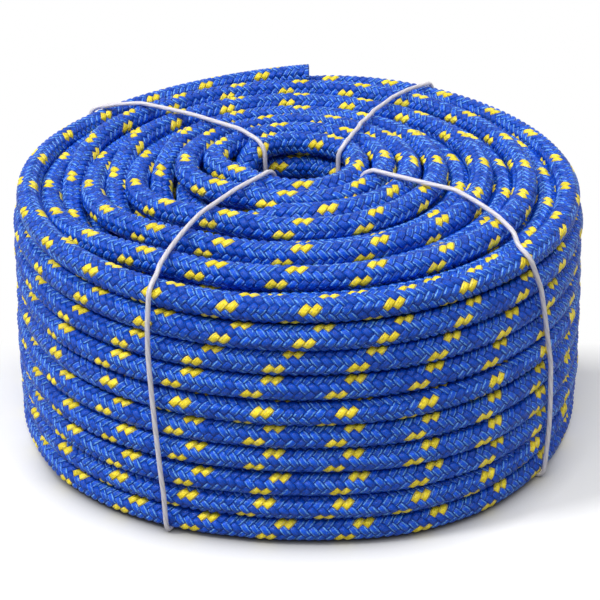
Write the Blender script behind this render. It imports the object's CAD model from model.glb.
"""Coil of blue braided rope with yellow flecks, tied at four places with white string.

The whole rope is one tube that follows one route: ten layers of ten turns. It is braided in the
mesh where a turn shows and plain where other turns hide it. Lengths called "in rope diameters"
are turned into metres by ROPE_D. The coil's front faces -Y. An azimuth is counted clockwise from
the front, as seen from above, and the rope is laid in that direction.
"""
import math

import bpy
import numpy as np
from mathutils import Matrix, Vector


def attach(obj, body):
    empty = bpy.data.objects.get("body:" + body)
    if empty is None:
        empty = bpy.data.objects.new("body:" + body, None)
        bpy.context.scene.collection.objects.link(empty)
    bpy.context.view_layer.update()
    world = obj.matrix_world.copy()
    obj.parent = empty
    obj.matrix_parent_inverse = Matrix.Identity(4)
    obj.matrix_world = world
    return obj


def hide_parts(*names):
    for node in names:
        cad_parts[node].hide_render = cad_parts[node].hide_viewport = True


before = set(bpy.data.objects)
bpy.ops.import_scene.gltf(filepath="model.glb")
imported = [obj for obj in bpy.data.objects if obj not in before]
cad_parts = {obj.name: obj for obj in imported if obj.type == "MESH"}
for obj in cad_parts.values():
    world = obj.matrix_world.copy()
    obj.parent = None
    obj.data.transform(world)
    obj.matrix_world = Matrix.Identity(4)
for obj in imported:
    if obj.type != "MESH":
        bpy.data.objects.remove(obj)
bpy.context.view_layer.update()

ROPE_D = 0.012
SEED = 7

# Camera, in rope diameters: aimed at the middle of the coil's height
CAMERA_ELEVATION = 27.95
CAMERA_DISTANCE = 60.64
CAMERA_TARGET_Z = 5.0
CAMERA_LENS = 90.9
CAMERA_SHIFT = (0.0033, -0.0425)

# Light: a broad key lamp from above and a little in front, a smaller one from the left that casts
# the shadow at the right, and an even surrounding
KEY_FROM = (-0.02, -0.40, 1.0)
KEY_LIGHT = 2.0
KEY_ANGLE = 60.0
SPARK_FROM = (-0.80, -0.18, 1.0)
SPARK_LIGHT = 1.4
SPARK_ANGLE = 8.0
WORLD_LIGHT = 0.14

# Floor: colour and glow where the camera sees it, and the colour that other pieces get light from.
# The dark edge where the coil stands has a reach, and grows from the first to the second distance
# in front of the coil's middle.
FLOOR_SEEN = 0.97
FLOOR_GLOW = 0.04
FLOOR_BOUNCE = 0.30
CONTACT_REACH = 1.2
CONTACT_DEPTH = (4.0, 7.0)

# The floor's shadow ends in a soft level line, as where a paper sweep turns up: between these
# distances behind the coil's middle, and only beyond these distances from its axis. The floor
# reaches FLOOR_SIZE metres each way.
SWEEP_DEPTH = (0.6, 3.1)
SWEEP_CLEAR = (11.2, 12.2)
FLOOR_SIZE = 6.0

# Layers from the bore outwards, in rope diameters. A layer's top turn lies TOP_SINK below the top
# face's middle, where the neighbouring layers let it sink between them.
LEVELS = 10
LAYER_RADIUS = [2.30, 3.30, 4.28, 5.32, 6.20, 7.05, 7.88, 8.72, 9.55, 10.46]
TOP_SINK = [0.0, 0.0, 0.05, 0.12, 0.62, 0.23, 0.72, 0.28, 0.88, 0.53]
BOTTOM_RISE = [0.0, 0.0, 0.0, 0.0, 0.0, 0.45, 0.0, 0.45, 0.0, 0.0]
TOP_Z = 9.74
FLOOR_Z = 0.5
TOP_WALL_RADIUS = 10.31
INNER_END_LEVEL = 7

# The wall stands a little out of round: how far its turns bulge, by azimuth. The bulge begins at
# the height WALL_BULGE_TOP and is full BULGE_FADE lower, and it grows with the radius from the
# first to the second BULGE_FROM_R.
WALL_AZIMUTH = [0, 12, 25, 37, 50, 62, 90, 130, 180, 240, 270, 300, 325, 340, 352, 360]
WALL_BULGE = [.08, .08, .26, .43, .55, .43, .20, .10, .10, .18, .30, .44, .54, .40, .16, .08]
WALL_BULGE_TOP = 8.8
BULGE_FADE = 6.0
BULGE_FROM_R = (9.6, 10.4)

# Unevenness of hand winding: its size, and its periods in degrees for radius and for height
UNEVEN = 0.035
RADIUS_WAVES = (211.0, 97.0, 143.0)
HEIGHT_WAVES = (187.0, 83.0, 131.0)

# The rope begins this far before its first pass of the front, and ends this far after its last
START_ANGLE = -128.0
END_ANGLE = 182.3
ROUTE_STEP = 0.5

# Azimuths between which a turn passes to the next place
BORE_DIP = (180, 232)
BORE_CLIMB = (170, 230)
BORE_ENTRY = (125, 175)
BORE_RISE = (90, 140)
BORE_TO_FACE = (55, 105)
FACE_SHIFT = (25, 85)
DIP = (0, 50)
CLIMB = (70, 120)
WALL_CLIMB = (110, 205)
FLOOR_SHIFT = (120, 350)
WALL_START = (215, 262)

# The outer end rises ever more steeply off the turn below, and shifts inwards
END_RISE = 0.56
END_RISE_FROM = (118.0, 182.0)
END_RISE_POWER = 1.8
END_SHIFT = -0.40
END_SHIFT_FROM = (90.0, 170.0)

# Braid: 16 plaits, over two and under two. PITCH is the length of one turn of a plait, CORE_R the
# radius of the grooves and BULGE the rise of a plait over them. Two bright yarns run along each
# plait, YARN_AT of its width from its middle.
PLAITS_EACH_WAY = 8
PITCH = 2.73
CORE_R = 0.415
BULGE = 0.065
STEEPER = 0.3
YARN_AT = 0.33
YARN_WIDE = 0.11
STEPS_PER_PLAIT = 4
BRAID_SIDES = PLAITS_EACH_WAY * STEPS_PER_PLAIT

# Where other turns hide the rope, it is a plain tube that reaches PLAIN_LAP into the braided ones
SQUEEZED_R = 0.48
PLAIN_SIDES = 12
PLAIN_STEP = 0.8
PLAIN_LAP = 0.1

# Layout for the bake: strips of visible rope, one above the other, with some room round them, and a
# last strip for all that is hidden. A band is the start and the share of a strip's height that the
# way round the rope takes.
STRIP_SPARE = 1.03
STRIP_GAP = 0.2
STRIP_BAND = (0.015, 0.97)
HIDDEN_BAND = (0.1, 0.8)
HIDDEN_EVERY = 50.0
HIDDEN_SHARE = 0.9
HIDDEN_STRIP = 60.0
CAPS_AT = (0.93, 0.96)

# A turn shows where it lies outside or inside these radii, or this near the top face or the floor
SEEN_OUTSIDE_R = 9.95
SEEN_INSIDE_R = 2.75
SEEN_TOP = 1.3
SEEN_BOTTOM = 0.75

# Where the flecks lie as the rope passes the front, and at its end: turn, share of a pitch, and
# roll in degrees
FRONT_PASSES = [
    (19, -0.18, -20.0), (20, -0.39, 0.0), (21, 0.13, -38.0), (40, -0.18, -8.0),
    (60, -0.20, -22.0), (80, -0.26, -8.0), (91, -0.41, -35.0), (92, -0.42, 43.0),
    (93, -0.47, -28.0), (94, -0.55, -30.0), (95, -0.53, -19.0), (96, -0.42, 25.0),
    (97, -0.56, -23.0), (98, -0.29, -17.0), (99, 0.07, -5.0), (100, 0.14, 23.0),
    (100.5, 0.37, 48.0),
]

# Ties: radius and azimuth along the top, then height and azimuth down the wall. A string has the
# radius TIE_R and lies TIE_REST off the middle of the turns that it crosses.
TIES = {
    "tie_front_left": ([(1.9, 30), (2.6, 31.3), (4.0, 34.2), (6.1, 34.1), (8.7, 29.9), (10.9, 27)],
                       [(9.8, 27), (7.3, 26.9), (4.7, 25.9), (1.8, 24.6), (0.0, 24.4)]),
    "tie_back_left": ([(1.9, 131), (3.0, 134.2), (5.9, 134), (8.8, 131.4), (10.9, 125)],
                      [(9.8, 125), (0.0, 127)]),
    "tie_back_right": ([(1.9, 246), (2.8, 230), (3.9, 220), (5.5, 214.4), (7.4, 212.3), (10.9, 213)],
                       [(9.8, 213), (0.0, 211)]),
    "tie_front_right": ([(1.9, 304), (4.4, 300.6), (6.5, 298.5), (8.6, 305.3), (10.9, 313)],
                        [(9.8, 313.2), (8.2, 310.1), (4.9, 306.5), (2.1, 306.5), (0.0, 306.9)]),
}
# The front right string slips under the innermost ring: radius and height on its way to the bore
RING_DIPS = {"tie_front_right": [(2.90, 10.10), (2.80, 9.75), (2.66, 9.32), (2.25, 9.22),
                                 (1.90, 9.14), (1.72, 8.85)]}
TIE_R = 0.088
TIE_REST = 0.50
TIE_STEP = 0.2

# Each string's knot in the bore: its size and height, its width and depth in that size, its points,
# those left out where the tails begin, and for each tail the steps down and aside and their number
KNOT_R = 0.19
KNOT_Z = 4.63
KNOT_WIDE = 0.33
KNOT_DEEP = 0.5
KNOT_STEPS = 60
KNOT_OPEN = 4
FIRST_TAIL = (0.13, 0.02, 9)
LAST_TAIL = (0.15, 0.05, 7)

# A string's azimuth changes over these radii along the bottom, and over these from the top to the
# wall; over these heights, downwards, it passes to the bottom's
TIE_BELOW = (1.9, 10.9)
TIE_OVER_EDGE = (9.6, 10.8)
TIE_TO_FLOOR = (2.0, 0.5)

# Cut ends: (depth below the cut, radius) from the lip's outside to the hole's floor
CAP_PROFILE = [(0.14, 0.425), (0.0, 0.478), (-0.04, 0.46), (-0.055, 0.42), (-0.05, 0.35),
               (-0.02, 0.31), (0.04, 0.295), (0.30, 0.29)]

# The core's fibres at a cut: their depths, the turn of each ring on the one inside it in radians,
# and how much shorter than its first step a fibre is, at least and at most. Each is a little wider
# than its share of the room, and narrower at its tip.
CORE_FACE_R = 0.29
FIBRE_R = 0.036
FIBRE_DEPTHS = [0.0, 0.25, 0.5, 0.75]
FIBRE_TURN = 0.4
FIBRE_SHORT = (0.02, 0.08)
FIBRE_SWELL = 1.12
FIBRE_TIP = 0.8

# Colours of the blue and of the yellow plaits: their body, single bright yarns, and the grooves
BODY = ((0.004, 0.096, 0.72, 1.0), (1.0, 0.80, 0.040, 1.0))
BRIGHT = ((0.22, 0.54, 1.00, 1.0), (0.98, 0.86, 0.24, 1.0))
GROOVE = ((0.001, 0.034, 0.32, 1.0), (0.74, 0.54, 0.030, 1.0))

# How bright a plait is: what all have, what yellow ones have more, and how much chance and the
# filaments add. A bright yarn shows where the filaments and the plait's chance are above these.
# A groove's colour fades out at this swell of the plait.
PLAIN_LIGHT = 0.74
YELLOW_LIGHT = 0.22
CHANCE_LIGHT = 0.40
FIBRE_LIGHT = 1.6
BRIGHT_FIBRES = 0.47
BRIGHT_CHANCE = 0.3
GROOVE_SWELL = 0.38

# Bump of the rope and of the strings and fibres: strength, and depth in metres
ROPE_BUMP = (0.8, 0.0010)
LAY_BUMP = (0.6, 0.0003)

# Colours of the filaments of the strings and of the core: on the ridges, and between them
STRING_COLOURS = ((0.90, 0.87, 0.92, 1.0), (0.50, 0.48, 0.58, 1.0))
FIBRE_COLOURS = ((0.60, 0.65, 0.78, 1.0), (0.16, 0.20, 0.34, 1.0))

CORD_STEP = 9.0


def ease(u):
    """From 0 to 1 as u does, level at both ends."""
    u = np.clip(u, 0.0, 1.0)
    return u * u * (3.0 - 2.0 * u)


def share_of(value, span):
    """How far value has come from the start of a span to its end."""
    return (value - span[0]) / (span[1] - span[0])


def material(name):
    """A new material with its nodes and links."""
    mat = bpy.data.materials.new(name)
    mat.use_nodes = True
    return mat, mat.node_tree.nodes, mat.node_tree.links


def make_camera():
    """The photo's camera, level and in line with the coil's axis."""
    data = bpy.data.cameras.new("camera")
    data.sensor_width = 36.0
    data.lens = CAMERA_LENS
    data.shift_x, data.shift_y = CAMERA_SHIFT
    cam = bpy.data.objects.new("camera", data)
    tilt = math.radians(CAMERA_ELEVATION)
    distance = CAMERA_DISTANCE * ROPE_D
    cam.location = (0.0, -distance * math.cos(tilt),
                    CAMERA_TARGET_Z * ROPE_D + distance * math.sin(tilt))
    cam.rotation_euler = (math.pi / 2 - tilt, 0.0, 0.0)
    bpy.context.scene.collection.objects.link(cam)
    bpy.context.scene.camera = cam


# ---------------------------------------------------------------- the rope's route

def level_z(layer, level):
    """Height of a layer's turn, counted from the lowest."""
    low = FLOOR_Z + BOTTOM_RISE[layer]
    high = TOP_Z - TOP_SINK[layer]
    return low + (high - low) * level / (LEVELS - 1)


def stations():
    """One entry per turn: radius, height, and the azimuths in which the rope comes to it."""
    rows = []
    for level in range(INNER_END_LEVEL, -1, -1):
        rows.append((LAYER_RADIUS[0], level_z(0, level), BORE_DIP))
    for level in range(LEVELS - 1):
        zone = FLOOR_SHIFT if level == 0 else BORE_CLIMB
        rows.append((LAYER_RADIUS[1], level_z(1, level), zone))
    rows.append((LAYER_RADIUS[0], level_z(0, LEVELS - 2), BORE_ENTRY))
    rows.append((LAYER_RADIUS[0], level_z(0, LEVELS - 1), BORE_RISE))
    rows.append((LAYER_RADIUS[1], level_z(1, LEVELS - 1), BORE_TO_FACE))
    for layer in range(2, len(LAYER_RADIUS)):
        climbs = layer % 2 == 1
        wall = layer == len(LAYER_RADIUS) - 1
        levels = range(LEVELS) if climbs else range(LEVELS - 1, -1, -1)
        for n, level in enumerate(levels):
            if n == 0:
                zone = WALL_START if wall else FLOOR_SHIFT if climbs else FACE_SHIFT
            else:
                zone = WALL_CLIMB if wall else CLIMB if climbs else DIP
            radius = LAYER_RADIUS[layer]
            if wall and level == LEVELS - 1:
                radius = TOP_WALL_RADIUS
            rows.append((radius, level_z(layer, level), zone))
    return rows


def wander(angle, waves, rng):
    """Slow, small unevenness along the rope, with no jumps."""
    total = np.zeros_like(angle)
    for period in waves:
        total += np.sin(np.radians(angle) * 360.0 / period + rng.uniform(0.0, 2.0 * math.pi))
    return total / len(waves)


def route(angle):
    """Radius and height, in rope diameters, at the total angle travelled, in degrees."""
    rows = stations()
    rng = np.random.default_rng(SEED)
    radius = np.full_like(angle, rows[0][0])
    height = np.full_like(angle, rows[0][1])
    for turn in range(1, len(rows)):
        share = ease(share_of(angle - 360.0 * turn, rows[turn][2]))
        radius += (rows[turn][0] - rows[turn - 1][0]) * share
        height += (rows[turn][1] - rows[turn - 1][1]) * share
    last = angle - 360.0 * len(rows)
    height += END_RISE * np.clip(share_of(last, END_RISE_FROM), 0.0, 1.0) ** END_RISE_POWER
    radius += END_SHIFT * ease(share_of(last, END_SHIFT_FROM))
    bulge = np.interp(np.mod(angle, 360.0), WALL_AZIMUTH, WALL_BULGE)
    low = np.clip((WALL_BULGE_TOP - height) / BULGE_FADE, 0.0, 1.0)
    radius += bulge * low * ease(share_of(radius, BULGE_FROM_R))
    calm = ease((height - FLOOR_Z) / 1.5)
    radius += UNEVEN * wander(angle, RADIUS_WAVES, rng)
    height += UNEVEN * wander(angle, HEIGHT_WAVES, rng) * calm
    return radius, height


def point_at(angle, radius, height):
    """Places at azimuths in degrees, radii and heights."""
    a = np.radians(angle)
    return np.stack([-radius * np.sin(a), -radius * np.cos(a), height], axis=-1)


class Route:
    """The rope's centreline in fine steps, with its length and the braid's phase."""

    def __init__(self):
        turns = len(stations())
        end = 360.0 * turns + END_ANGLE
        self.angle = np.arange(START_ANGLE, end + ROUTE_STEP / 2.0, ROUTE_STEP)
        self.radius, self.height = route(self.angle)
        self.points = point_at(self.angle, self.radius, self.height)
        step = np.linalg.norm(np.diff(self.points, axis=0), axis=1)
        self.along = np.concatenate([[0.0], np.cumsum(step)])
        passes = np.array([360.0 * row[0] for row in FRONT_PASSES])
        where = np.interp(passes, self.angle, self.along)
        free = where / PITCH
        shift = np.zeros(len(passes))
        for k, row in enumerate(FRONT_PASSES):
            before = shift[k - 1] if k else 0.0
            miss = row[1] - (free[k] + before)
            shift[k] = before + miss - round(miss)
        self.phase = self.along / PITCH + np.interp(self.along, where, shift)
        self.roll = np.interp(self.along, where, [row[2] for row in FRONT_PASSES])

    def at(self, along):
        """Centre, outward and upward directions at lengths along the rope."""
        angle = np.interp(along, self.along, self.angle)
        radius = np.interp(along, self.along, self.radius)
        height = np.interp(along, self.along, self.height)
        centre = point_at(angle, radius, height)
        tangent = np.gradient(centre, axis=0)
        tangent /= np.linalg.norm(tangent, axis=1, keepdims=True)
        a = np.radians(angle)
        out = np.stack([-np.sin(a), -np.cos(a), np.zeros_like(a)], axis=-1)
        out -= tangent * np.sum(out * tangent, axis=1, keepdims=True)
        out /= np.linalg.norm(out, axis=1, keepdims=True)
        up = np.cross(tangent, out)
        return centre, out, up

    def rims(self, along, sides):
        """Directions from the centre to the braid's sides, at lengths along the rope."""
        centre, out, up = self.at(along)
        roll = np.interp(along, self.along, self.roll)
        theta = np.arange(sides) * 360.0 / sides
        turn = np.radians(theta[None, :] + roll[:, None])[..., None]
        rims = np.cos(turn) * out[:, None, :] + np.sin(turn) * up[:, None, :]
        return centre[:, None, :], rims, np.cross(out, up)[:, None, :], theta


# ---------------------------------------------------------------- the braid

def braid(theta, phase):
    """Height of the braid over its core.

    theta is the angle round the rope in degrees, phase the length along it in pitches. A plait of
    the first way lies between whole numbers of one_way, and one of the other way is centred on a
    whole number of other_way. Each passes over two and under two, and swells between. Where a
    plait is on top it leans more steeply across the rope, by STEEPER.
    """
    width = 360.0 / PLAITS_EACH_WAY
    one_way = (theta + 360.0 * phase) / width
    other_way = (theta - 360.0 * phase) / width
    one = np.floor(one_way + 1e-6)
    other = np.floor(other_way + 0.5 + 1e-6)
    first_on_top = np.mod(one + other + 1.0, 4.0) < 2.0
    across = np.where(first_on_top, one_way - one - 0.5, other_way - other)
    along = np.where(first_on_top, other_way + one + 0.5, one_way + other - 2.0)
    along = np.mod(along + 2.0, 4.0) - 2.0
    swell = (1.0 - np.abs(2.0 * across) ** 2.2) * (1.0 - np.abs(along) ** 3.0)
    return BULGE * np.clip(swell, 0.0, 1.0)


def visible_runs(rope, along):
    """True where a turn can be seen: near the top face, the wall, the bore or the bottom."""
    radius = np.interp(along, rope.along, rope.radius)
    height = np.interp(along, rope.along, rope.height)
    top = TOP_Z - np.interp(radius, LAYER_RADIUS, TOP_SINK)
    sides = (radius > SEEN_OUTSIDE_R) | (radius < SEEN_INSIDE_R)
    return sides | (height > top - SEEN_TOP) | (height < FLOOR_Z + SEEN_BOTTOM)


def ring_faces(rings, sides, flip):
    """Two triangles to each cell of a tube, cut along the diagonal that the plaits follow."""
    i = np.arange(rings - 1)[:, None]
    j = np.arange(sides)[None, :]
    a = i * sides + j
    b = i * sides + (j + 1) % sides
    c = a + sides
    d = b + sides
    other = np.broadcast_to(flip, a.shape)[..., None, None]
    one_cut = np.stack([np.stack([a, b, c], -1), np.stack([b, d, c], -1)], -2)
    other_cut = np.stack([np.stack([a, b, d], -1), np.stack([a, d, c], -1)], -2)
    return np.where(other, other_cut, one_cut).reshape(-1, 3)


def braided_tube(rope, start, end):
    """Vertices, triangles and the braid's coordinates of one visible stretch."""
    first = math.ceil(np.interp(start, rope.along, rope.phase) * BRAID_SIDES)
    last = math.floor(np.interp(end, rope.along, rope.phase) * BRAID_SIDES)
    number = np.arange(first, last + 1)
    phase = number / BRAID_SIDES
    along = np.interp(phase, rope.phase, rope.along)
    centre, rims, forward, theta = rope.rims(along, BRAID_SIDES)
    reach = CORE_R + braid(theta[None, :], phase[:, None])
    lean = STEEPER * PITCH / (8.0 * math.pi) * np.sin(np.radians(4.0 * theta))
    verts = centre + reach[..., None] * rims + lean[None, :, None] * forward
    groove = np.arange(BRAID_SIDES)[None, :] - number[:-1, None]
    flip = np.mod(groove, STEPS_PER_PLAIT) == STEPS_PER_PLAIT // 2
    faces = ring_faces(len(number), BRAID_SIDES, flip)
    return verts.reshape(-1, 3), faces, phase, along


def plain_tube(rope, start, end):
    """Vertices, triangles and the braid's coordinates of one hidden stretch."""
    count = max(3, int((end - start) / PLAIN_STEP) + 1)
    along = np.linspace(start, end, count)
    centre, rims, _, _ = rope.rims(along, PLAIN_SIDES)
    verts = centre + SQUEEZED_R * rims
    faces = ring_faces(count, PLAIN_SIDES, np.array([[False]]))
    return verts.reshape(-1, 3), faces, np.interp(along, rope.along, rope.phase), along


def end_cap(rope, inward):
    """The sheath's cut face: a rounded lip, and the wall of the hole that the core fills."""
    end = rope.along[0] if inward > 0 else rope.along[-1]
    place = 0 if inward > 0 else 1
    centre, rims, forward, _ = rope.rims(np.sort([end, end + 0.1 * inward]), BRAID_SIDES)
    deep, reach = np.array(CAP_PROFILE).T
    middle = centre[place] + (inward * deep)[:, None] * forward[place]
    verts = middle[:, None, :] + reach[:, None, None] * rims[place]
    faces = ring_faces(len(deep), BRAID_SIDES, np.array([[False]]))
    if inward > 0:
        faces = faces[:, ::-1]
    along = end + inward * np.cumsum(np.abs(np.gradient(deep)) + np.abs(np.gradient(reach)))
    return verts.reshape(-1, 3), faces, np.interp(end, rope.along, rope.phase) + 0.0 * along, along


def corners(faces, sides):
    """Each corner's ring and its place round the tube, unbroken across the seam."""
    ring = faces // sides
    spoke = faces % sides
    wraps = (spoke.max(axis=1) - spoke.min(axis=1) > sides // 2)[:, None]
    return ring, np.where(wraps & (spoke == 0), sides, spoke)


def in_band(strip, band, round_share, strips):
    """Height in the bake's layout of a place round the rope, on a strip counted from the lowest."""
    return (strip + band[0] + band[1] * round_share) / (strips + 1)


def triangle_mesh(name, verts, faces, layers, mat):
    """An object from vertices in rope diameters and triangles, with coordinates for each corner."""
    mesh = bpy.data.meshes.new(name)
    mesh.vertices.add(len(verts))
    mesh.vertices.foreach_set("co", (verts * ROPE_D).astype(np.float32).ravel())
    mesh.loops.add(faces.size)
    mesh.loops.foreach_set("vertex_index", faces.astype(np.int32).ravel())
    mesh.polygons.add(len(faces))
    mesh.polygons.foreach_set("loop_start", np.arange(0, faces.size, 3, dtype=np.int32))
    mesh.polygons.foreach_set("use_smooth", np.ones(len(faces), dtype=bool))
    for layer_name, values in layers:
        layer = mesh.uv_layers.new(name=layer_name)
        layer.uv.foreach_set("vector", values.astype(np.float32).ravel())
    mesh.update()
    obj = bpy.data.objects.new(name, mesh)
    bpy.context.scene.collection.objects.link(obj)
    mesh.materials.append(mat)
    return obj


def build_rope(rope, mat):
    """The whole rope as one mesh: braided and plain stretches in turn, and a cap at each cut.

    The layer "plait" holds the braid's own coordinates, and "OFBake" the layout for the bake.
    """
    along = rope.along
    seen = visible_runs(rope, along)
    edges = np.flatnonzero(np.diff(seen.astype(int))) + 1
    cuts = np.concatenate([[0], edges, [len(along) - 1]])
    runs = list(zip(cuts[:-1], cuts[1:]))
    seen_length = sum(along[b] - along[a] for a, b in runs if seen[a])
    strip_height = 2.0 * math.pi * SQUEEZED_R * STRIP_SPARE
    strips = int(math.sqrt(seen_length * strip_height) * STRIP_SPARE / strip_height)
    strip_length = seen_length / strips + 1.0
    verts, faces, coords, sheets = [], [], [], []
    laid = 0.0
    for a, b in runs:
        if seen[a]:
            v, f, phase, at = braided_tube(rope, along[a], along[b])
            sides = BRAID_SIDES
        else:
            v, f, phase, at = plain_tube(rope, max(0.0, along[a] - PLAIN_LAP),
                                         min(along[-1], along[b] + PLAIN_LAP))
            sides = PLAIN_SIDES
        ring, spoke = corners(f, sides)
        round_share = spoke / sides
        base = math.floor(phase[0] / 4.0) * 4.0
        start_ring = ring.min(axis=1, keepdims=True)
        if seen[a]:
            place = laid + at - at[0]
            strip = np.floor(place[start_ring] / strip_length)
            u = (place[ring] - strip * strip_length) / (strip_length + STRIP_GAP)
            w = in_band(strip, STRIP_BAND, round_share, strips)
            laid += at[-1] - at[0]
        else:
            share = np.mod(at[start_ring], HIDDEN_EVERY) / HIDDEN_EVERY
            u = HIDDEN_SHARE * share + (at[ring] - at[start_ring]) / HIDDEN_STRIP
            w = in_band(strips, HIDDEN_BAND, round_share, strips)
        verts.append(v)
        faces.append(f)
        coords.append(np.stack([phase[ring] - base, round_share], axis=-1))
        sheets.append(np.stack([u, w], axis=-1))
    for inward, cap_at in zip((1.0, -1.0), CAPS_AT):
        v, f, phase, at = end_cap(rope, inward)
        ring, spoke = corners(f, BRAID_SIDES)
        round_share = spoke / BRAID_SIDES
        u = cap_at + np.abs(at - at[0])[ring] / HIDDEN_STRIP
        w = in_band(strips, HIDDEN_BAND, round_share, strips)
        verts.append(v)
        faces.append(f)
        coords.append(np.stack([phase[ring], round_share], axis=-1))
        sheets.append(np.stack([u, w], axis=-1))
    before = np.cumsum([0] + [len(v) for v in verts[:-1]])
    faces = np.concatenate([f + first for f, first in zip(faces, before)])
    layers = [(name, np.concatenate([v.reshape(-1, 2) for v in values]))
              for name, values in (("OFBake", sheets), ("plait", coords))]
    return triangle_mesh("rope", np.concatenate(verts), faces, layers, mat)


# ---------------------------------------------------------------- ends and ties

def new_mesh_object(name, verts, faces, mat, coords=None):
    """An object from vertices in rope diameters, with coordinates for its material if given."""
    mesh = bpy.data.meshes.new(name)
    mesh.from_pydata([tuple(v) for v in np.asarray(verts) * ROPE_D], [], faces)
    mesh.polygons.foreach_set("use_smooth", [True] * len(mesh.polygons))
    mesh.materials.append(mat)
    if coords is not None:
        layer = mesh.uv_layers.new(name="lay")
        layer.uv.foreach_set("vector", np.asarray(coords, dtype=np.float32).ravel())
    mesh.update()
    obj = bpy.data.objects.new(name, mesh)
    bpy.context.scene.collection.objects.link(obj)
    return obj


def sweep(points, radii, sides, closed=False):
    """Vertices, faces and (length, share round) of a tube, in a frame that doesn't twist."""
    points = np.asarray(points, dtype=float)
    count = len(points)
    if closed:
        tangents = np.roll(points, -1, axis=0) - np.roll(points, 1, axis=0)
    else:
        tangents = np.gradient(points, axis=0)
    tangents /= np.linalg.norm(tangents, axis=1, keepdims=True)
    side = np.cross(tangents[0], (0.3, 0.5, 0.8))
    side /= np.linalg.norm(side)
    verts = []
    for i in range(count):
        side = side - tangents[i] * np.dot(side, tangents[i])
        side /= np.linalg.norm(side)
        other = np.cross(tangents[i], side)
        for k in range(sides):
            turn = 2.0 * math.pi * k / sides
            verts.append(points[i] + radii[i] * (math.cos(turn) * side + math.sin(turn) * other))
    faces, coords = [], []
    steps = np.linalg.norm(np.diff(np.vstack([points, points[:1]]), axis=0), axis=1)
    length = np.concatenate([[0.0], np.cumsum(steps)])
    for i in range(count if closed else count - 1):
        for k in range(sides):
            a = i * sides + k
            b = i * sides + (k + 1) % sides
            c = ((i + 1) % count) * sides + (k + 1) % sides
            d = ((i + 1) % count) * sides + k
            faces.append((a, b, c, d))
            coords += [(length[i], k / sides), (length[i], (k + 1) / sides),
                       (length[i + 1], (k + 1) / sides), (length[i + 1], k / sides)]
    if not closed:
        faces.append(tuple(range(sides - 1, -1, -1)))
        faces.append(tuple(range((count - 1) * sides, count * sides)))
        coords += [(0.0, k / sides) for k in range(sides)] * 2
    return verts, faces, coords


def convex_hull(points):
    """Corners of the convex hull of points in a plane, counterclockwise."""
    points = sorted(map(tuple, points))

    def half(rows):
        hull = []
        for p in rows:
            while len(hull) > 1:
                (ax, ay), (bx, by) = hull[-2], hull[-1]
                if (bx - ax) * (p[1] - ay) - (by - ay) * (p[0] - ax) > 0.0:
                    break
                hull.pop()
            hull.append(p)
        return hull[:-1]

    return np.array(half(points) + half(points[::-1]))


def tie_azimuth(radius, height, top, wall):
    """Azimuth of a string at a place on its way round the coil."""
    on_top = np.interp(radius, [p[0] for p in top], [p[1] for p in top])
    on_wall = np.interp(height, [p[0] for p in reversed(wall)], [p[1] for p in reversed(wall)])
    foot, bore = wall[-1][1], top[0][1]
    below = bore + (foot - bore) * np.clip(share_of(radius, TIE_BELOW), 0.0, 1.0)
    outer = ease(share_of(radius, TIE_OVER_EDGE))
    low = ease(share_of(height, TIE_TO_FLOOR)) * (1.0 - outer)
    high = on_top * (1.0 - outer) + on_wall * outer
    return high * (1.0 - low) + below * low


def under_ring(loop, dip):
    """The loop with its way over the innermost ring replaced by a dip below that ring."""
    loop = np.roll(loop, -int(np.argmin(loop[:, 0] + loop[:, 1])), axis=0)
    over = (loop[:, 0] < dip[0][0] + 0.2) & (loop[:, 1] > dip[-1][1])
    first = int(np.argmax(over))
    return np.vstack([loop[:first], dip, loop[first:][~over[first:]]])


def tie_loop(rope, top, wall, dip):
    """Points of a string drawn tight round every turn that it crosses."""
    spots = []
    for turn in range(int(rope.angle[-1] // 360) + 1):
        azimuth = wall[0][1]
        for _ in range(3):
            angle = 360.0 * turn + azimuth
            radius = np.interp(angle, rope.angle, rope.radius)
            height = np.interp(angle, rope.angle, rope.height)
            azimuth = float(tie_azimuth(radius, height, top, wall))
        if rope.angle[0] < angle < rope.angle[-1]:
            spots.append((radius, height))
    spots = np.array(spots)
    ring = np.linspace(0.0, 2.0 * math.pi, 24, endpoint=False)
    rims = spots[:, None, :] + (TIE_REST + TIE_R) * np.stack([np.cos(ring), np.sin(ring)], -1)[None]
    hull = convex_hull(rims.reshape(-1, 2))
    hull[:, 1] = np.maximum(hull[:, 1], TIE_R)
    if dip:
        hull = under_ring(hull, dip)
    closed = np.vstack([hull, hull[:1]])
    step = np.linalg.norm(np.diff(closed, axis=0), axis=1)
    walk = np.concatenate([[0.0], np.cumsum(step)])
    at = np.arange(0.0, walk[-1] - TIE_STEP / 2.0, TIE_STEP)
    radius = np.interp(at, walk, closed[:, 0])
    height = np.interp(at, walk, closed[:, 1])
    return point_at(tie_azimuth(radius, height, top, wall), radius, height)


def tail_points(start, up, side, drop, drift, count):
    """A tail that hangs down from a knot and drifts aside by a little at each of its points."""
    return [start - up * (0.12 + drop * k) + side * (0.10 + drift * k) for k in range(1, count + 1)]


def knot_points(centre, out, side):
    """A thumb knot with two short tails, on the bore's side of its string."""
    up = np.array([0.0, 0.0, 1.0])
    turn = np.linspace(0.0, 2.0 * math.pi, KNOT_STEPS)
    knot = []
    for t in turn[KNOT_OPEN:-KNOT_OPEN]:
        a = math.sin(t) + 2.0 * math.sin(2.0 * t)
        b = math.cos(t) - 2.0 * math.cos(2.0 * t)
        c = -math.sin(3.0 * t)
        knot.append(centre + KNOT_R * (KNOT_WIDE * (a * side + b * up) + KNOT_DEEP * c * out))
    first = tail_points(knot[0], up, side, *FIRST_TAIL)
    return first[::-1] + knot + tail_points(knot[-1], up, -side, *LAST_TAIL)


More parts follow.
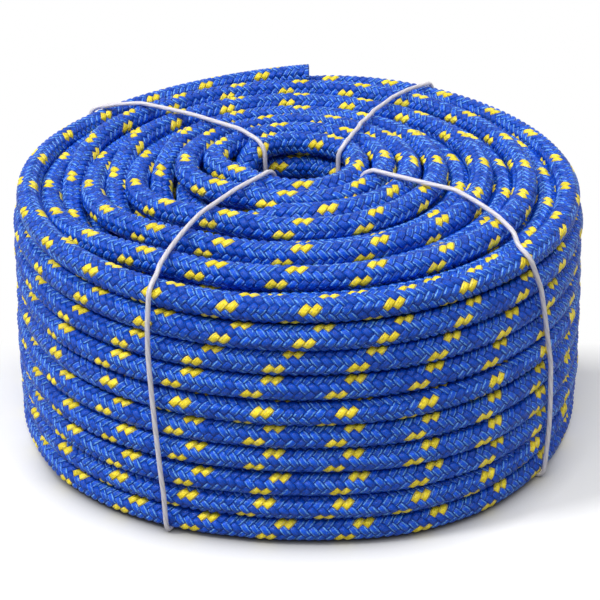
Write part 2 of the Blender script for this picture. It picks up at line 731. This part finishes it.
def build_tie(name, loop, mat):
    """A string along its closed loop, with a knot where it is nearest to KNOT_Z in the bore."""
    verts, faces, coords = sweep(loop, np.full(len(loop), TIE_R), 12, closed=True)
    near = np.linalg.norm(loop[:, :2], axis=1) < 3.0
    inside = loop[near]
    spot = inside[np.argmin(np.abs(inside[:, 2] - KNOT_Z))]
    out = np.array([-spot[0], -spot[1], 0.0])
    out /= np.linalg.norm(out)
    side = np.cross(out, (0.0, 0.0, 1.0))
    knot = knot_points(spot + out * (TIE_R + 0.1), out, side)
    more, more_faces, more_coords = sweep(knot, np.full(len(knot), 0.8 * TIE_R), 10)
    faces += [tuple(v + len(verts) for v in face) for face in more_faces]
    verts += more
    return new_mesh_object(name, verts, faces, mat, coords + more_coords)


def build_core(rope, name, along, inward, mat):
    """The fibres of a cut end: thin rods packed inside the sheath, uneven at the cut."""
    rng = np.random.default_rng(SEED + int(inward > 0))
    reach = np.array(FIBRE_DEPTHS)
    centre, out, up = rope.at(np.clip(along + inward * reach, 0.0, rope.along[-1]))
    verts, faces, coords = [], [], []
    rings = int(CORE_FACE_R / (2.0 * FIBRE_R))
    for ring in range(rings + 1):
        for k in range(max(1, 6 * ring)):
            turn = 2.0 * math.pi * k / max(1, 6 * ring) + FIBRE_TURN * ring
            x = 2.0 * FIBRE_R * ring * math.cos(turn)
            y = 2.0 * FIBRE_R * ring * math.sin(turn)
            rod = centre + x * out + y * up
            short = FIBRE_SHORT[0] + (FIBRE_SHORT[1] - FIBRE_SHORT[0]) * rng.random()
            rod[0] += (rod[1] - rod[0]) * short
            radii = np.full(len(rod), FIBRE_R * FIBRE_SWELL)
            radii[0] *= FIBRE_TIP
            more, more_faces, more_coords = sweep(rod, radii, 7)
            faces += [tuple(v + len(verts) for v in face) for face in more_faces]
            verts += more
            coords += [(x + ring + 0.37 * k, y) for x, y in more_coords]
    return new_mesh_object(name, verts, faces, mat, coords)


# ---------------------------------------------------------------- materials

class Maths:
    """Builds chains of Math nodes from plain calls."""

    def __init__(self, nodes, links):
        self.nodes = nodes
        self.links = links

    def __call__(self, operation, *values):
        node = self.nodes.new("ShaderNodeMath")
        node.operation = operation
        for socket, value in zip(node.inputs, values):
            if isinstance(value, (int, float)):
                socket.default_value = value
            else:
                self.links.new(value, socket)
        return node.outputs["Value"]

    def choose(self, share, if_one, if_zero):
        """if_one where share is 1 and if_zero where it is 0."""
        return self("ADD", self("MULTIPLY", share, if_one),
                    self("MULTIPLY", self("SUBTRACT", 1.0, share), if_zero))


def mix_colours(nodes, links, share, low, high, blend="MIX"):
    """The low colour where share is 0 and the high one, or their blend, where it is 1."""
    mix = nodes.new("ShaderNodeMix")
    mix.data_type = "RGBA"
    mix.blend_type = blend
    for socket, value in ((mix.inputs["Factor"], share), (mix.inputs["A"], low),
                          (mix.inputs["B"], high)):
        if isinstance(value, (tuple, float)):
            socket.default_value = value
        else:
            links.new(value, socket)
    return mix.outputs["Result"]


def own_coordinates(nodes, links, layer):
    """The two coordinates that a piece's mesh has in a layer."""
    coords = nodes.new("ShaderNodeUVMap")
    coords.uv_map = layer
    split = nodes.new("ShaderNodeSeparateXYZ")
    links.new(coords.outputs["UV"], split.inputs["Vector"])
    return split.outputs["X"], split.outputs["Y"]


def vector(nodes, links, *values):
    """A vector from one to three values."""
    node = nodes.new("ShaderNodeCombineXYZ")
    for axis, value in zip("XYZ", values):
        links.new(value, node.inputs[axis])
    return node.outputs["Vector"]


def noise(nodes, links, place, scale):
    """Filaments: a soft noise from 0 to 1 at a place."""
    node = nodes.new("ShaderNodeTexNoise")
    node.inputs["Scale"].default_value = scale
    node.inputs["Detail"].default_value = 3.0
    links.new(place, node.inputs["Vector"])
    return node.outputs["Fac"]


def add_bump(nodes, links, height, strength, depth):
    """Bends the surface's light as if it had this height."""
    bump = nodes.new("ShaderNodeBump")
    bump.inputs["Strength"].default_value = strength
    bump.inputs["Distance"].default_value = depth
    links.new(height, bump.inputs["Height"])
    links.new(bump.outputs["Normal"], nodes["Principled BSDF"].inputs["Normal"])


def rope_material():
    """Blue and yellow plaits, worked out from the braid's own coordinates as in braid()."""
    mat, nodes, links = material("braided_rope")
    shader = nodes["Principled BSDF"]
    do = Maths(nodes, links)
    phase, round_share = own_coordinates(nodes, links, "plait")
    one_way = do("MULTIPLY", do("ADD", round_share, phase), PLAITS_EACH_WAY)
    other_way = do("MULTIPLY", do("SUBTRACT", round_share, phase), PLAITS_EACH_WAY)
    one = do("FLOOR", one_way)
    other = do("FLOOR", do("ADD", other_way, 0.5))
    both = do("ADD", do("ADD", one, other), 1.0)
    first = do("LESS_THAN", do("FLOORED_MODULO", both, 4.0), 1.5)
    across = do.choose(first, do("SUBTRACT", do("SUBTRACT", one_way, one), 0.5),
                       do("SUBTRACT", other_way, other))
    along = do.choose(first, do("ADD", do("ADD", other_way, one), 0.5),
                      do("SUBTRACT", do("ADD", one_way, other), 2.0))
    along = do("WRAP", along, 2.0, -2.0)
    # Two neighbouring plaits of the first way are yellow
    yellow = do("MULTIPLY", first,
                do("LESS_THAN", do("FLOORED_MODULO", do("ADD", one, 1.0), 8.0), 1.5))

    wide = do("MULTIPLY", do("POWER", do("ABSOLUTE", do("MULTIPLY", across, 2.0)), 4.0), 0.7)
    long = do("POWER", do("ABSOLUTE", along), 3.4)
    swell = do("MAXIMUM", do("SUBTRACT", do("SUBTRACT", 1.0, wide), long), 0.0)
    ridge = do("DIVIDE", do("SUBTRACT", do("ABSOLUTE", across), YARN_AT), YARN_WIDE)
    yarns = do("MAXIMUM", do("SUBTRACT", 1.0, do("MULTIPLY", ridge, ridge)), 0.0)

    place = vector(nodes, links, do("MULTIPLY", across, 6.0), do("MULTIPLY", along, 0.8),
                   do("ADD", do("MULTIPLY", one, 3.7), do("MULTIPLY", other, 5.3)))
    fibres = noise(nodes, links, place, 2.2)
    # One random number for each place where a plait comes to the top
    key = vector(nodes, links, do.choose(first, one, other), do("FLOOR", do("DIVIDE", both, 4.0)),
                 first)
    each = nodes.new("ShaderNodeTexWhiteNoise")
    links.new(key, each.inputs["Vector"])
    chance = each.outputs["Value"]

    height = do("ADD", do("MULTIPLY", swell, 0.8), do("MULTIPLY", fibres, 0.25))
    height = do("ADD", height, do("MULTIPLY", yarns, 0.25))
    add_bump(nodes, links, height, *ROPE_BUMP)

    colour = mix_colours(nodes, links, yellow, *BODY)
    pale = mix_colours(nodes, links, yellow, *BRIGHT)
    deep = mix_colours(nodes, links, yellow, *GROOVE)
    streak = do("MULTIPLY", yarns, do("LESS_THAN", BRIGHT_FIBRES, fibres))
    streak = do("MULTIPLY", streak, do("LESS_THAN", BRIGHT_CHANCE, chance))
    light = do("ADD", do("MULTIPLY", chance, CHANCE_LIGHT),
               do("MULTIPLY", do("SUBTRACT", fibres, 0.5), FIBRE_LIGHT))
    light = do("ADD", light, do("ADD", do("MULTIPLY", yellow, YELLOW_LIGHT), PLAIN_LIGHT))
    grey = vector(nodes, links, light, light, light)
    colour = mix_colours(nodes, links, 1.0, colour, grey, "MULTIPLY")
    colour = mix_colours(nodes, links, streak, colour, pale)
    groove = nodes.new("ShaderNodeMapRange")
    groove.inputs["From Min"].default_value = 0.0
    groove.inputs["From Max"].default_value = GROOVE_SWELL
    groove.inputs["To Min"].default_value = 1.0
    groove.inputs["To Max"].default_value = 0.0
    links.new(swell, groove.inputs["Value"])
    colour = mix_colours(nodes, links, groove.outputs["Result"], colour, deep)
    links.new(colour, shader.inputs["Base Color"])
    links.new(do("ADD", do("MULTIPLY", fibres, 0.25), 0.22), shader.inputs["Roughness"])
    shader.inputs["Specular IOR Level"].default_value = 0.28
    return mat


def lay_material(name, colours, twists, rough):
    """Filaments laid in a slow twist along a string or a fibre, from its own coordinates."""
    pale, deep = colours
    mat, nodes, links = material(name)
    shader = nodes["Principled BSDF"]
    do = Maths(nodes, links)
    length, round_share = own_coordinates(nodes, links, "lay")
    strand = do("ADD", do("MULTIPLY", round_share, 3.0), do("MULTIPLY", length, twists))
    ridge = do("ABSOLUTE", do("SINE", do("MULTIPLY", strand, math.pi)))
    place = vector(nodes, links, do("MULTIPLY", strand, 4.0), do("MULTIPLY", length, 1.6))
    threads = noise(nodes, links, place, 2.0)
    height = do("ADD", do("MULTIPLY", do("POWER", ridge, 0.6), 0.6), do("MULTIPLY", threads, 0.5))
    add_bump(nodes, links, height, *LAY_BUMP)
    share = do("ADD", do("MULTIPLY", do("POWER", ridge, 0.5), 0.6), do("MULTIPLY", threads, 0.6))
    links.new(mix_colours(nodes, links, do("MINIMUM", share, 1.0), deep, pale),
              shader.inputs["Base Color"])
    links.new(do("ADD", do("MULTIPLY", threads, 0.2), rough), shader.inputs["Roughness"])
    return mat


def seen_rays(nodes, do):
    """1 for the rays that show a surface to the camera, straight or by way of a glossy piece."""
    rays = nodes.new("ShaderNodeLightPath")
    seen = do("MAXIMUM", rays.outputs["Is Camera Ray"], rays.outputs["Is Glossy Ray"])
    return do("MAXIMUM", seen, rays.outputs["Is Transmission Ray"])


def share_between(do, value, span):
    """0 before the start of a span given in rope diameters, 1 after its end."""
    share = do("DIVIDE", do("SUBTRACT", value, span[0] * ROPE_D), (span[1] - span[0]) * ROPE_D)
    return do("MINIMUM", do("MAXIMUM", share, 0.0), 1.0)


def floor_material():
    """White where the camera sees it lit, and darker in the coil's shadow."""
    mat, nodes, links = material("floor")
    nodes.remove(nodes["Principled BSDF"])
    do = Maths(nodes, links)
    seen = seen_rays(nodes, do)
    spot = nodes.new("ShaderNodeNewGeometry")
    split = nodes.new("ShaderNodeSeparateXYZ")
    links.new(spot.outputs["Position"], split.inputs["Vector"])
    near = nodes.new("ShaderNodeAmbientOcclusion")
    near.inputs["Distance"].default_value = CONTACT_REACH * ROPE_D
    front = share_between(do, do("MULTIPLY", split.outputs["Y"], -1.0), CONTACT_DEPTH)
    contact = do.choose(front, near.outputs["AO"], 1.0)
    shade = do.choose(seen, do("MULTIPLY", contact, FLOOR_SEEN), FLOOR_BOUNCE)
    lit = nodes.new("ShaderNodeBsdfDiffuse")
    links.new(vector(nodes, links, shade, shade, shade), lit.inputs["Color"])
    glow = nodes.new("ShaderNodeEmission")
    links.new(do("MULTIPLY", do("MULTIPLY", seen, contact), FLOOR_GLOW), glow.inputs["Strength"])
    both = nodes.new("ShaderNodeAddShader")
    links.new(lit.outputs["BSDF"], both.inputs[0])
    links.new(glow.outputs["Emission"], both.inputs[1])

    # Behind the sweep's line and clear of the coil the floor shows white, whatever falls on it
    far = share_between(do, split.outputs["Y"], SWEEP_DEPTH)
    away = do("SQRT", do("ADD", do("MULTIPLY", split.outputs["X"], split.outputs["X"]),
                         do("MULTIPLY", split.outputs["Y"], split.outputs["Y"])))
    share = do("MULTIPLY", far, share_between(do, away, SWEEP_CLEAR))
    white = nodes.new("ShaderNodeEmission")
    links.new(seen, white.inputs["Strength"])
    pick = nodes.new("ShaderNodeMixShader")
    links.new(do("MULTIPLY", share, seen), pick.inputs["Fac"])
    links.new(both.outputs["Shader"], pick.inputs[1])
    links.new(white.outputs["Emission"], pick.inputs[2])
    links.new(pick.outputs["Shader"], nodes["Material Output"].inputs["Surface"])
    return mat


def make_world():
    """White to the camera, and an even dim light to every piece."""
    world = bpy.data.worlds.new("world")
    bpy.context.scene.world = world
    world.use_nodes = True
    nodes, links = world.node_tree.nodes, world.node_tree.links
    do = Maths(nodes, links)
    seen = seen_rays(nodes, do)
    back = nodes["Background"]
    back.inputs["Color"].default_value = (1.0, 1.0, 1.0, 1.0)
    links.new(do.choose(seen, 1.0, WORLD_LIGHT), back.inputs["Strength"])


def make_lamp(name, place, strength, angle):
    """A distant lamp that shines from the direction of place."""
    light = bpy.data.lights.new(name, "SUN")
    light.energy = strength
    light.angle = math.radians(angle)
    lamp = bpy.data.objects.new(name, light)
    lamp.rotation_euler = (-Vector(place)).to_track_quat("-Z", "Y").to_euler()
    bpy.context.scene.collection.objects.link(lamp)


def make_stage():
    """The floor, the surrounding and the lamps."""
    mesh = bpy.data.meshes.new("floor")
    size = FLOOR_SIZE
    mesh.from_pydata([(-size, -size, 0), (size, -size, 0), (size, size, 0), (-size, size, 0)], [],
                     [(0, 1, 2, 3)])
    floor = bpy.data.objects.new("floor", mesh)
    mesh.materials.append(floor_material())
    bpy.context.scene.collection.objects.link(floor)
    make_world()
    make_lamp("key", KEY_FROM, KEY_LIGHT, KEY_ANGLE)
    make_lamp("spark", SPARK_FROM, SPARK_LIGHT, SPARK_ANGLE)


bpy.context.scene.view_settings.view_transform = "Standard"
make_camera()
rope = Route()
rope_piece = build_rope(rope, rope_material())
core_mat = lay_material("core_fibre", FIBRE_COLOURS, 2.0, 0.5)
string_mat = lay_material("tie_string", STRING_COLOURS, 1.4, 0.3)
free_core = build_core(rope, "free_end_fibres", rope.along[-1], -1.0, core_mat)
inner_core = build_core(rope, "inner_end_fibres", 0.0, 1.0, core_mat)
marks = np.arange(START_ANGLE, rope.angle[-1], CORD_STEP)
path = np.array([np.interp(marks, rope.angle, rope.points[:, axis]) for axis in range(3)]).T
path = np.vstack([path, rope.points[-1:]]) * ROPE_D
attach(rope_piece, "root")
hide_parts("rope_winding", "rope_inner_turns", "free_end_run", "free_end_sheath",
            "inner_end_sheath")
for core, node in ((free_core, "free_end_core"), (inner_core, "inner_end_core")):
    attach(core, "root")
    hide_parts(node)
for name, (top, wall) in TIES.items():
    loop = tie_loop(rope, top, wall, RING_DIPS.get(name))
    tie = build_tie(name.replace("tie", "string"), loop, string_mat)
    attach(tie, "root")
    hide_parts(name)
make_stage()
